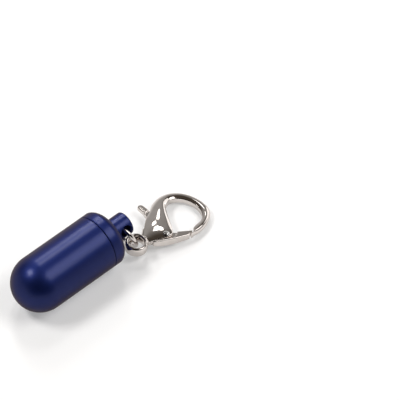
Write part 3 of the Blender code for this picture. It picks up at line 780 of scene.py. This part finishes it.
eye_centre, eye_axis = hinge("clasp_yaw")
pivot_centre = hinge("lever_open")[0]
to_pivot = frame_at(eye_centre, pivot_centre - eye_centre, eye_axis)
clasp_place = to_pivot @ Matrix.Rotation(-math.atan2(PIVOT[1], PIVOT[0]), 4, "Z")
sections = []
for ox, oy, ix, iy, crown, wall in smooth_rows(CLASP_ROWS, CLASP_STEP):
    half = crown * BODY_HALF
    width = math.hypot(ix - ox, iy - oy)
    # A broad section is fuller and has its ridge nearer the inner edge.
    broad = max(0.0, crown - HOOK_CROWN) / (1 - HOOK_CROWN)
    fullness = HOOK_FULLNESS + BROAD_FULLNESS * broad
    ridge = HOOK_RIDGE + BROAD_RIDGE * broad
    bow = (1 - (1 - CROWN_RISE)**fullness)**(1 / fullness)
    # The inner edge is rolled over, so the fall from the ridge ends short of it, at the brim.
    roll = min(EDGE_ROLL, EDGE_ROLL_SHARE * width)
    brim = (1 - roll / width - ridge) / (1 - ridge)
    edge = 1 - (1 - wall) * brim**2
    shape = [*zip(ridge * CROWN_RISE, bow)]
    shape += zip(ridge + (1 - ridge) * brim * INNER_FALL, 1 - (1 - wall) * (brim * INNER_FALL)**2)
    shape += [(1 - roll / width * (1 - math.sin(a)), edge - roll / half * (1 - math.cos(a)))
              for a in ROLL_TURNS]
    # The neck is deeper underneath than on top.
    under = max(crown, NECK_UNDER - (ox - CLASP_ROWS[0][0]) / NECK_TAPER)
    upper = [(ox + (ix - ox) * t, oy + (iy - oy) * t, half * h) for t, h in shape]
    sections.append(upper + [(x, y, -z * under / crown) for x, y, z in upper[:0:-1]])
points, faces = skin(sections)
body_finish = nickel("nickel_plated_casting", roughness=0.05, ripple=0.05)
body = make_piece("cast_clasp_body", points, faces, body_finish, Matrix())
eye_middle = (EYE_INNER + EYE_OUTER) / 2
eye_thick = (EYE_OUTER - EYE_INNER) / 2
eye = []
for a in EYE_TURNS:
    # The eye's section is an oval that swells towards its four corners.
    swell = max(abs(math.cos(a)), abs(math.sin(a)))**-EYE_CORNERS * EYE_FULLNESS
    eye.append((EYE_HALF * math.sin(a) * swell, eye_middle + eye_thick * math.cos(a) * swell))
points, faces = turned(eye, EYE_FACETS)
combine(body, "UNION", upright(points), faces, Matrix.Translation((0, 0, -EYE_DROP)))
points, faces = plate(SLOT_OUTLINE, SLOT_HALF)
combine(body, "DIFFERENCE", points, faces, Matrix())
pivot_place = Matrix.Translation((*PIVOT, 0))
through = 2 * BODY_HALF
rows = [(-through, 0), (-through, RIVET_BORE), (through, RIVET_BORE), (through, 0)]
points, faces = turned(rows, BORE_FACETS)
combine(body, "DIFFERENCE", upright(points), faces, pivot_place)
cast(body, BODY_GRAIN)
body.data.transform(clasp_place)
bright_pieces.objects.link(body)
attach(body, "clasp")
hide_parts("clasp_body")


# The clasp's lever: gate, hub and thumb trigger in one casting, thin where it runs between the
# cheeks and as deep as the clasp where it shows, with a pocket under its hub for the spring.
LEVER_GRAIN = 0.00008
LEVER_EDGE = 0.00018
HUB_RADIUS = 0.00156
HUB_FACETS = 64
POCKET_RADIUS = 0.00126
POCKET_REACH = 0.001
POCKET_ROOM = 0.0003
SPRING_WIRE = 0.00011
WEB_HALF = 0.0005
WEB_OUTLINE = (
    (0.00500, -0.00240), (0.00660, -0.00195), (0.00725, -0.00040), (0.00710, 0.00250),
    (0.00700, 0.00740), (0.00715, 0.00890), (0.00870, 0.00920), (0.00880, 0.00740),
    (0.00870, 0.00250), (0.00895, 0.00020), (0.00960, -0.00075), (0.01150, -0.00195),
    (0.01200, -0.00340), (0.00830, -0.00305), (0.00520, -0.00260),
)
TAIL_HALF = 0.0014
TAIL_UNDERCUT = 0.0009
UNDERCUT_LENGTH = 0.004
TIP_HALF = 0.0009
GATE_OUTLINE = (
    (0.00395, -0.00175), (0.00480, -0.00190), (0.00650, -0.00225), (0.00810, -0.00270),
    (0.00880, -0.00293), (0.00960, -0.00290), (0.01050, -0.00240), (0.01120, -0.00165),
    (0.01490, -0.00300), (0.01468, -0.00330), (0.01378, -0.00360), (0.01362, -0.00372),
    (0.01358, -0.00400), (0.01200, -0.00385), (0.01000, -0.00360), (0.00800, -0.00325),
    (0.00600, -0.00285), (0.00440, -0.00250), (0.00380, -0.00225), (0.00370, -0.00195),
)
TRIGGER_HALF = 0.0008
TRIGGER_RIM = ((0.0, 0.40), (0.00010, 0.66), (0.00026, 0.87), (0.00048, 1.0))
TRIGGER_OUTLINE = (
    (0.00725, 0.00760), (0.00870, 0.00790), (0.00878, 0.00880), (0.00860, 0.00960),
    (0.00842, 0.01030), (0.00812, 0.01083), (0.00762, 0.01106), (0.00710, 0.01098),
    (0.00674, 0.01062), (0.00668, 0.01015), (0.00684, 0.00940), (0.00700, 0.00860),
)
points, faces = plate(WEB_OUTLINE, WEB_HALF)
lever_finish = nickel("nickel_plated_lever", roughness=0.08, ripple=0.06)
lever = make_piece("cast_clasp_lever", points, faces, lever_finish, Matrix())
rows = [(-WEB_HALF, 0), (-WEB_HALF, HUB_RADIUS), (WEB_HALF, HUB_RADIUS), (WEB_HALF, 0)]
points, faces = turned(rows, HUB_FACETS)
combine(lever, "UNION", upright(points), faces, pivot_place)
points, faces = plate(GATE_OUTLINE, TAIL_HALF, ((0.0, 1 - LEVER_EDGE / TAIL_HALF), (LEVER_EDGE, 1.0)))
tail = min(point[0] for point in points)
tip = max(point[0] for point in points)
gate = []
for x, y, z in points:
    # The gate thins towards its tip and is cut away under its tail.
    z *= 1 - (x - tail) / (tip - tail) * (1 - TIP_HALF / TAIL_HALF)
    if z < 0:
        z += TAIL_UNDERCUT * max(0, 1 - (x - tail) / UNDERCUT_LENGTH)
    gate.append((x, y, z))
combine(lever, "UNION", gate, faces, Matrix())
points, faces = plate(TRIGGER_OUTLINE, TRIGGER_HALF, TRIGGER_RIM)
combine(lever, "UNION", points, faces, Matrix())
roof = 2 * SPRING_WIRE + POCKET_ROOM - WEB_HALF
rows = [(-POCKET_REACH, 0), (-POCKET_REACH, POCKET_RADIUS), (roof, POCKET_RADIUS),
        (roof, RIVET_BORE), (POCKET_REACH, RIVET_BORE), (POCKET_REACH, 0)]
points, faces = turned(rows, HUB_FACETS)
combine(lever, "DIFFERENCE", upright(points), faces, pivot_place)
cast(lever, LEVER_GRAIN)
lever.data.transform(clasp_place)
bright_pieces.objects.link(lever)
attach(lever, "lever")
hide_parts("clasp_lever")


# The rivet: a steel pin through both cheeks, its two ends peened over into low domes. The
# hammer has left shallow dents in the bright metal.
RIVET_RADIUS = 0.0004
RIVET_HEAD = 0.00085
RIVET_EDGE = 0.00010
RIVET_SEAT = 0.00140
RIVET_TOP = 0.00195
DOME_RISE = 0.00030
DOME_RADIUS = 0.9 * RIVET_HEAD
RIVET_FACETS = 48
PEEN_DENT = 0.0003
upper = [(RIVET_SEAT, RIVET_RADIUS), (RIVET_SEAT, RIVET_HEAD - RIVET_EDGE / 2)]
upper += arc((RIVET_SEAT + RIVET_EDGE, RIVET_HEAD - RIVET_EDGE), RIVET_EDGE, -60, 60, steps=4)
upper += [(RIVET_TOP - DOME_RISE * share**2, DOME_RADIUS * share) for share in (0.8, 0.6, 0.4, 0.2, 0)]
rows = [(-x, r) for x, r in reversed(upper)] + upper
points, faces = turned(rows, RIVET_FACETS)
steel, tree = new_material("peened_steel")
coords = add_node(tree, "ShaderNodeTexCoord").outputs["Object"]
dents = add_node(tree, "ShaderNodeTexNoise", {"Vector": coords, "Scale": 1 / PEEN_DENT, "Detail": 2.0})
bump = add_node(tree, "ShaderNodeBump", {"Height": dents.outputs[0], "Strength": 0.3, "Distance": 0.00003})
close_material(tree, add_node(tree, "ShaderNodeBsdfPrincipled", {
    "Base Color": linear("#C4C2C0"), "Metallic": 1.0, "Roughness": 0.24, "Normal": bump.outputs[0]}))
rivet = make_piece("peened_rivet", upright(points), faces, steel, clasp_place @ pivot_place)
bright_pieces.objects.link(rivet)
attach(rivet, "clasp")
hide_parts("lever_rivet")


# The spring: hard-drawn wire, satin from the die, bent into most of one loop round the rivet,
# with a straight leg that reaches past the hub's edge. It lies in the lever's pocket and swings
# the gate shut.
SPRING_RADIUS = 0.00081
SPRING_SIDES = 12
# Real drawing lines are finer than this and too fine to show.
DRAWN_LINES = 0.00008
level = SPRING_WIRE - WEB_HALF
path = [(-HUB_RADIUS, SPRING_RADIUS, level), (-HUB_RADIUS / 2, SPRING_RADIUS, level)]
path += [(x, y, level) for x, y in arc((0, 0), SPRING_RADIUS, 90, -190, steps=48)]
spring_wire, tree = new_material("hard_drawn_spring_wire")
coords = add_node(tree, "ShaderNodeTexCoord").outputs["Object"]
lines = add_node(tree, "ShaderNodeTexNoise", {"Vector": coords, "Scale": 1 / DRAWN_LINES, "Detail": 3.0})
satin = add_node(tree, "ShaderNodeMapRange", {"Value": lines.outputs[0], "To Min": 0.28, "To Max": 0.42})
close_material(tree, add_node(tree, "ShaderNodeBsdfPrincipled", {
    "Base Color": linear("#B3B0AC"), "Metallic": 1.0, "Roughness": satin.outputs[0]}))
spring_place = clasp_place @ pivot_place
spring = draw_wire("torsion_spring", path, SPRING_WIRE, SPRING_SIDES, spring_wire, spring_place)
bright_pieces.objects.link(spring)
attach(spring, "lever")
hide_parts("lever_spring")

bpy.context.view_layer.update()
